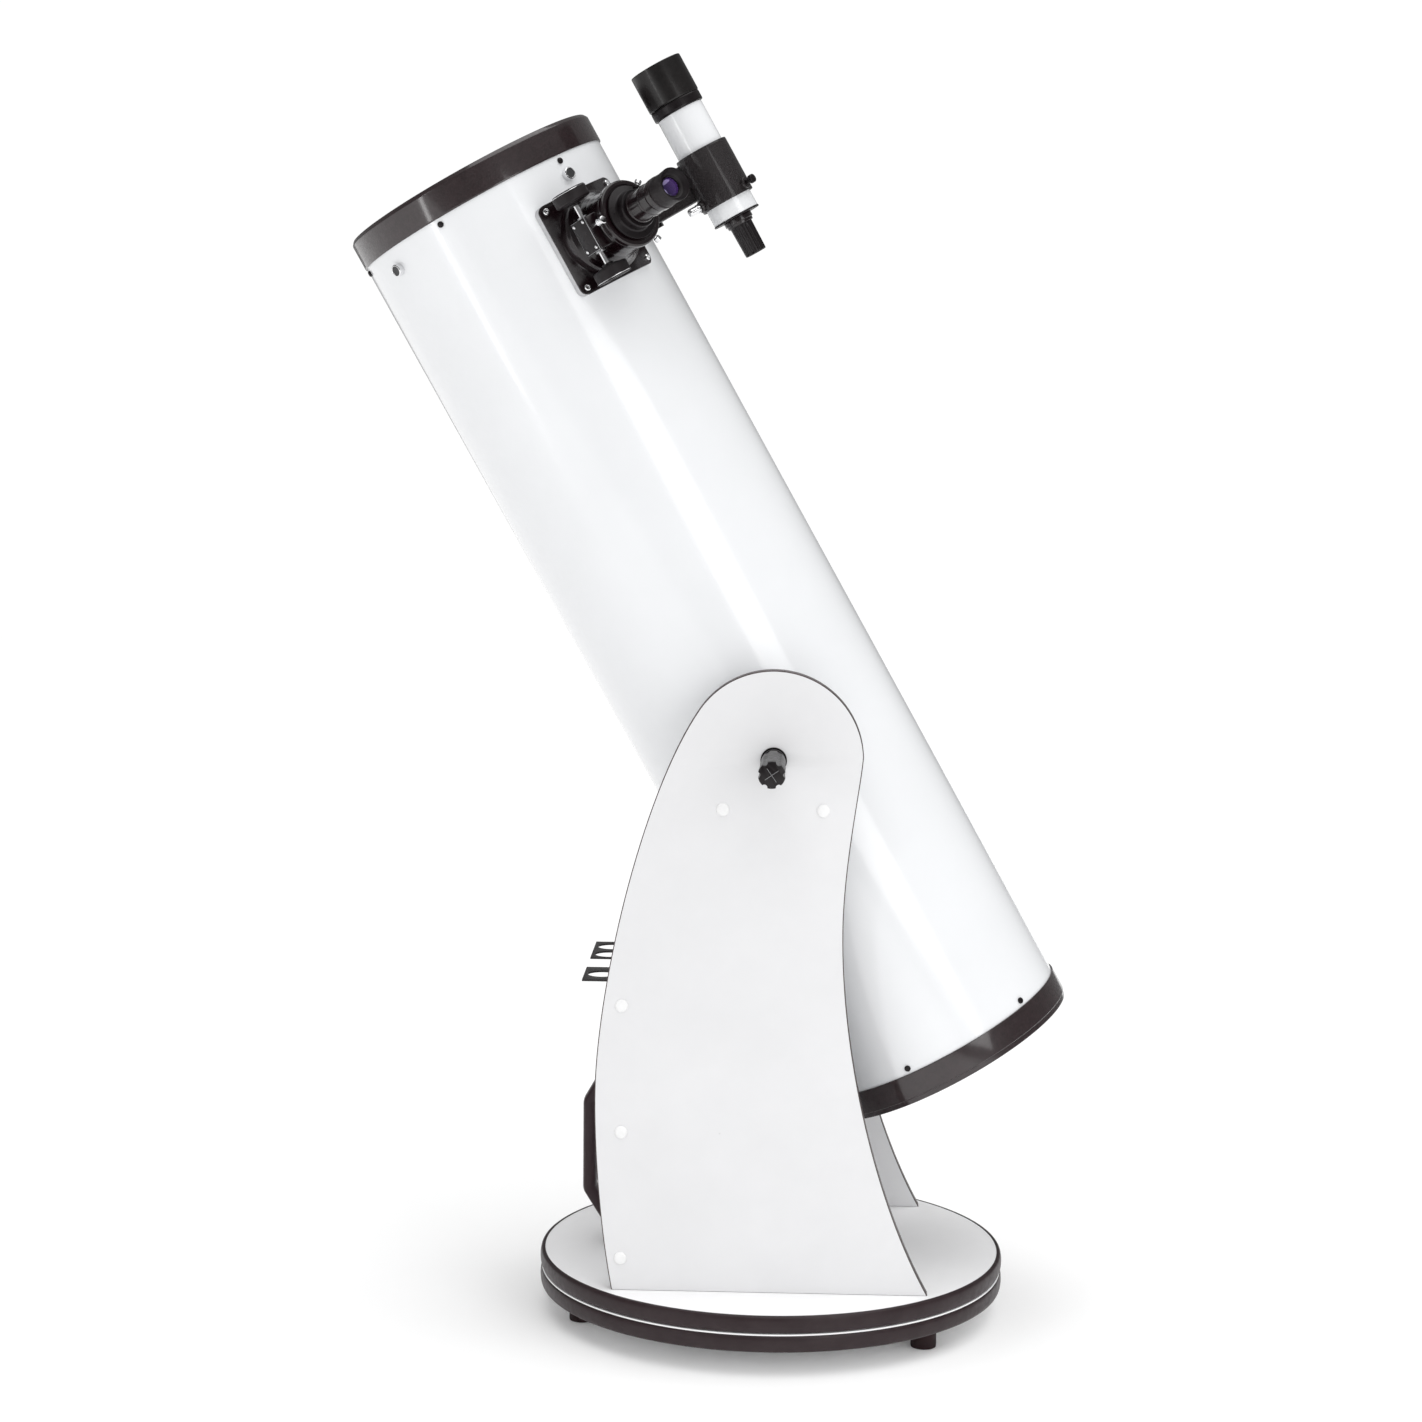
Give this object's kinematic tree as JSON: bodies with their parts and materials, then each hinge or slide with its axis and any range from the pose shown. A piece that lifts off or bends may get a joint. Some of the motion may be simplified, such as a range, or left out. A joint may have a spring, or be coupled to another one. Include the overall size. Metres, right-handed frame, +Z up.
{
  "type": "dobsonian telescope",
  "caption": "Newtonian reflector tube on a white rocker box that turns on a round ground board, with a side focuser, a finder and a front carrying handle.",
  "frame": {"origin": "centre of the bounding box at floor level, the telescope standing on its feet", "axes": "+Z up, +Y across the altitude axis towards the far side panel, -X towards the sky end of the tilted tube"},
  "size_m": [0.7918, 0.5726, 1.3856],
  "materials": {
    "melamine": "white melamine board, satin",
    "edging": "dark rounded edging strip, satin",
    "rubber": "black rubber",
    "nylon": "natural nylon",
    "chrome": "bright plated",
    "black_plastic": "moulded black plastic",
    "textured_paint": "black hammered paint",
    "tube_paint": "gloss white",
    "cast_aluminium": "cast, satin",
    "mirror_coating": "aluminised glass",
    "black_metal": "black anodised and painted",
    "lens_glass": "coated glass"
  },
  "bodies": {
    "ground": {"ground_board": "melamine", "ground_edging": "edging", "foot_1": "rubber", "foot_2": "rubber", "foot_3": "rubber", "azimuth_bearing_ring": "nylon", "azimuth_bolt": "chrome"},
    "rocker": {"rocker_board": "melamine", "rocker_edging": "edging", "side_panel_near": "melamine", "side_panel_far": "melamine", "front_board": "melamine", "front_handle": "black_plastic", "eyepiece_rack": "textured_paint", "altitude_bushing_1": "nylon", "altitude_bushing_2": "nylon", "altitude_bushing_3": "nylon", "altitude_bushing_4": "nylon"},
    "tube": {"optical_tube": "tube_paint", "front_ring": "textured_paint", "rear_ring": "textured_paint", "altitude_bearing_near": "black_plastic", "altitude_bearing_far": "black_plastic", "mirror_cell": "cast_aluminium", "mirror_carrier": "cast_aluminium", "primary_mirror": "mirror_coating", "spider": "black_metal", "secondary_holder": "black_plastic", "secondary_mirror": "mirror_coating", "focuser_plate": "black_metal", "focuser_body": "black_metal", "pinion_cover": "black_metal", "finder_shoe": "textured_paint"},
    "tension_near": {"tension_handle_near": "black_plastic"},
    "tension_far": {"tension_handle_far": "black_plastic"},
    "collimation_1": {"collimation_knob_1": "black_plastic"},
    "collimation_2": {"collimation_knob_2": "black_plastic"},
    "collimation_3": {"collimation_knob_3": "black_plastic"},
    "drawtube": {"drawtube": "black_metal"},
    "pinion": {"pinion_shaft": "chrome", "focus_knob_upper": "black_plastic", "focus_knob_lower": "black_plastic"},
    "focus_lock": {"focus_lock_screw": "chrome"},
    "collar_upper": {"collar_screw_upper": "chrome"},
    "collar_lower": {"collar_screw_lower": "chrome"},
    "adapter": {"eyepiece_adapter": "black_metal"},
    "adapter_lock": {"adapter_screw": "chrome"},
    "eyepiece": {"eyepiece_body": "black_metal", "eyepiece_lens": "lens_glass"},
    "finder_bracket": {"finder_bracket": "textured_paint"},
    "finder_gimbal": {"finder_o_ring": "rubber"},
    "finder": {"finder_tube": "tube_paint", "finder_eyepiece": "black_plastic"},
    "finder_focus": {"finder_objective_cell": "black_metal", "finder_lens": "lens_glass"},
    "finder_lock": {"finder_lock_ring": "black_metal"},
    "finder_adjuster_1": {"finder_adjust_screw_1": "black_metal"},
    "finder_adjuster_2": {"finder_adjust_screw_2": "black_metal"},
    "finder_plunger": {"finder_plunger": "chrome"}
  },
  "joints": [
    {"name": "azimuth_turn", "type": "hinge", "parent": "ground", "child": "rocker", "pos_m": [0.0717, 0, 0.049], "axis": [0, 0, 1], "continuous": true},
    {"name": "altitude_tilt", "type": "hinge", "parent": "rocker", "child": "tube", "pos_m": [0.0717, 0, 0.645], "axis": [0, 1, 0], "range_deg": [-60.63, 29.37]},
    {"name": "tension_near_turn", "type": "hinge", "parent": "tube", "child": "tension_near", "pos_m": [0.0717, -0.23, 0.645], "axis": [0, -1, 0], "range_deg": [0, 360]},
    {"name": "tension_far_turn", "type": "hinge", "parent": "tube", "child": "tension_far", "pos_m": [0.0717, 0.23, 0.645], "axis": [0, 1, 0], "range_deg": [0, 360]},
    {"name": "collimation_1_turn", "type": "hinge", "parent": "tube", "child": "collimation_1", "pos_m": [0.34033, 0.048, 0.33719], "axis": [0.4904, 0, -0.8715], "range_deg": [-180, 180]},
    {"name": "collimation_2_turn", "type": "hinge", "parent": "tube", "child": "collimation_2", "pos_m": [0.19543, 0.048, 0.25564], "axis": [0.4904, 0, -0.8715], "range_deg": [-180, 180]},
    {"name": "collimation_3_turn", "type": "hinge", "parent": "tube", "child": "collimation_3", "pos_m": [0.26788, -0.096, 0.29641], "axis": [0.4904, 0, -0.8715], "range_deg": [-180, 180]},
    {"name": "drawtube_slide", "type": "slide", "parent": "tube", "child": "drawtube", "axis": [0.5943, -0.7314, 0.3345], "range_m": [0, 0.03]},
    {"name": "pinion_spin", "type": "hinge", "parent": "tube", "child": "pinion", "pos_m": [-0.12428, -0.15727, 1.1905], "axis": [0.4904, 0, -0.8715], "range_deg": [0, 343.8]},
    {"name": "focus_lock_turn", "type": "hinge", "parent": "tube", "child": "focus_lock", "pos_m": [-0.11275, -0.18155, 1.20364], "axis": [0.5943, -0.7314, 0.3345], "range_deg": [0, 360]},
    {"name": "collar_upper_turn", "type": "hinge", "parent": "drawtube", "child": "collar_upper", "pos_m": [-0.07884, -0.12987, 1.24291], "axis": [0.2003, 0.5374, 0.8192], "range_deg": [0, 360]},
    {"name": "collar_lower_turn", "type": "hinge", "parent": "drawtube", "child": "collar_lower", "pos_m": [-0.05863, -0.13813, 1.18894], "axis": [0.7323, 0.3202, -0.6011], "range_deg": [0, 360]},
    {"name": "adapter_slide", "type": "slide", "parent": "drawtube", "child": "adapter", "axis": [0.5943, -0.7314, 0.3345], "range_m": [0, 0.04]},
    {"name": "adapter_lock_turn", "type": "hinge", "parent": "adapter", "child": "adapter_lock", "pos_m": [-0.07893, -0.15193, 1.2367], "axis": [-0.0362, 0.3912, 0.9196], "range_deg": [0, 360]},
    {"name": "eyepiece_slide", "type": "slide", "parent": "adapter", "child": "eyepiece", "axis": [0.5943, -0.7314, 0.3345], "range_m": [0, 0.04]},
    {"name": "finder_bracket_slide", "type": "slide", "parent": "tube", "child": "finder_bracket", "axis": [-0.4904, 0, 0.8715], "range_m": [0, 0.05]},
    {"name": "finder_tilt_sideways", "type": "hinge", "parent": "finder_bracket", "child": "finder_gimbal", "pos_m": [-0.01365, -0.04168, 1.27857], "axis": [0.8582, -0.1736, 0.483], "range_deg": [-0.8, 0.8]},
    {"name": "finder_tilt_up", "type": "hinge", "parent": "finder_gimbal", "child": "finder", "pos_m": [-0.01365, -0.04168, 1.27857], "axis": [0.1513, 0.9848, 0.0852], "range_deg": [-0.8, 0.8]},
    {"name": "finder_focus_turn", "type": "hinge", "parent": "finder", "child": "finder_focus", "pos_m": [-0.04602, -0.04168, 1.33609], "axis": [-0.4904, 0, 0.8715], "range_deg": [-180, 180]},
    {"name": "finder_lock_turn", "type": "hinge", "parent": "finder", "child": "finder_lock", "pos_m": [-0.0421, -0.04168, 1.32912], "axis": [-0.4904, 0, 0.8715], "range_deg": [-180, 180]},
    {"name": "finder_adjuster_1_turn", "type": "hinge", "parent": "finder_bracket", "child": "finder_adjuster_1", "pos_m": [0.03559, -0.06232, 1.2512], "axis": [0.7139, -0.5736, 0.4018], "range_deg": [-180, 180]},
    {"name": "finder_adjuster_2_turn", "type": "hinge", "parent": "finder_bracket", "child": "finder_adjuster_2", "pos_m": [0.01263, -0.00581, 1.23828], "axis": [0.076, 0.9962, 0.0427], "range_deg": [-180, 180]},
    {"name": "finder_plunger_pull", "type": "slide", "parent": "finder_bracket", "child": "finder_plunger", "axis": [-0.7898, -0.4226, -0.4445], "range_m": [0, 0.006], "stiffness_N_per_m": 500, "springref_m": -0.003}
  ],
  "couplings": [
    {"joint": "pinion_spin", "follows": "drawtube_slide", "rad_per_m": 200}
  ]
}
